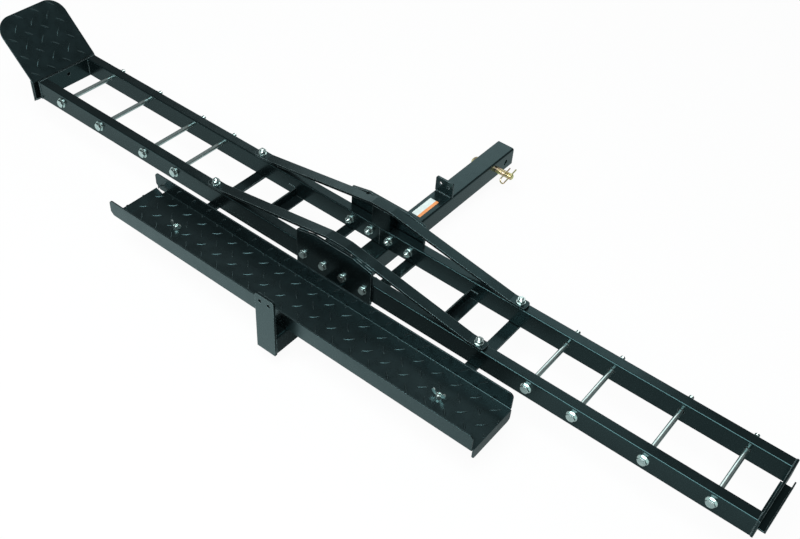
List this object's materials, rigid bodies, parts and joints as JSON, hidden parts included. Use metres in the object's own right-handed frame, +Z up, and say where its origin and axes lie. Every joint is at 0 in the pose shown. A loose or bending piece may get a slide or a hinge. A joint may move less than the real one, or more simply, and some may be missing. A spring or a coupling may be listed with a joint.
{
  "type": "hitch motorcycle carrier",
  "caption": "Receiver hitch motorcycle carrier: drawbar beam, two-rail wheel track with rungs, arched braces, leaning wheel stop and a stowed tread plate loading ramp.",
  "frame": {"origin": "on the axis of the hitch beam, at the centre of its hitch pin hole", "axes": "+X along the wheel track, away from the wheel stop; +Y along the beam toward the vehicle; +Z up"},
  "size_m": [2.1465, 0.8833, 0.2529],
  "materials": {
    "powder_coat": "semi-gloss black powder coat",
    "tread_plate": "semi-gloss black powder coat over raised tread bars",
    "zinc_plate": "clear zinc plating",
    "yellow_zinc": "yellow zinc plating"
  },
  "bodies": {
    "carrier": {"beam": "powder_coat", "front_bracket": "powder_coat", "rear_bracket": "powder_coat", "splice_plate_near": "powder_coat", "splice_plate_far": "powder_coat", "inner_straps": "powder_coat", "outer_strap_left": "powder_coat", "outer_strap_right": "powder_coat", "cross_angles": "powder_coat", "rail_near_left": "powder_coat", "rail_near_right": "powder_coat", "rail_far_left": "powder_coat", "rail_far_right": "powder_coat", "end_plate_left": "powder_coat", "end_plate_right": "powder_coat", "stop_pocket": "powder_coat", "ramp_hook_channel": "powder_coat", "post_near": "powder_coat", "post_far": "powder_coat", "brace_near": "powder_coat", "brace_far": "powder_coat", "rung_bolts": "zinc_plate", "rung_washers": "zinc_plate", "rung_nuts": "zinc_plate", "splice_bolts": "zinc_plate", "splice_washers": "zinc_plate", "splice_nuts": "zinc_plate", "brace_bolts": "zinc_plate", "brace_washers": "zinc_plate", "brace_nuts": "zinc_plate", "ramp_studs": "zinc_plate"},
    "ramp": {"ramp": "tread_plate"},
    "wing_nut_left": {"wing_nut_left": "zinc_plate"},
    "wing_nut_right": {"wing_nut_right": "zinc_plate"},
    "wheel_stop": {"wheel_stop": "tread_plate"},
    "hitch_pin": {"hitch_pin": "yellow_zinc"},
    "hairpin_clip": {"hairpin_clip": "yellow_zinc"}
  },
  "joints": [
    {"name": "pin_slide", "type": "slide", "parent": "carrier", "child": "hitch_pin", "axis": [1, 0, 0], "range_m": [-0.028, 0.003]},
    {"name": "clip_pull", "type": "slide", "parent": "hitch_pin", "child": "hairpin_clip", "axis": [0, -0.9763, -0.2164], "range_m": [0, 0.036]},
    {"name": "ramp_lift", "type": "slide", "parent": "carrier", "child": "ramp", "axis": [0, 0, 1], "range_m": [0, 0.08]},
    {"name": "wing_nut_left_turn", "type": "hinge", "parent": "ramp", "child": "wing_nut_left", "pos_m": [-0.3732, -0.71, 0.0293], "axis": [0, 0, 1], "continuous": true},
    {"name": "wing_nut_right_turn", "type": "hinge", "parent": "ramp", "child": "wing_nut_right", "pos_m": [0.3732, -0.71, 0.0293], "axis": [0, 0, 1], "continuous": true},
    {"name": "stop_lift", "type": "slide", "parent": "carrier", "child": "wheel_stop", "axis": [0, 0, 1], "range_m": [0, 0.07]}
  ]
}
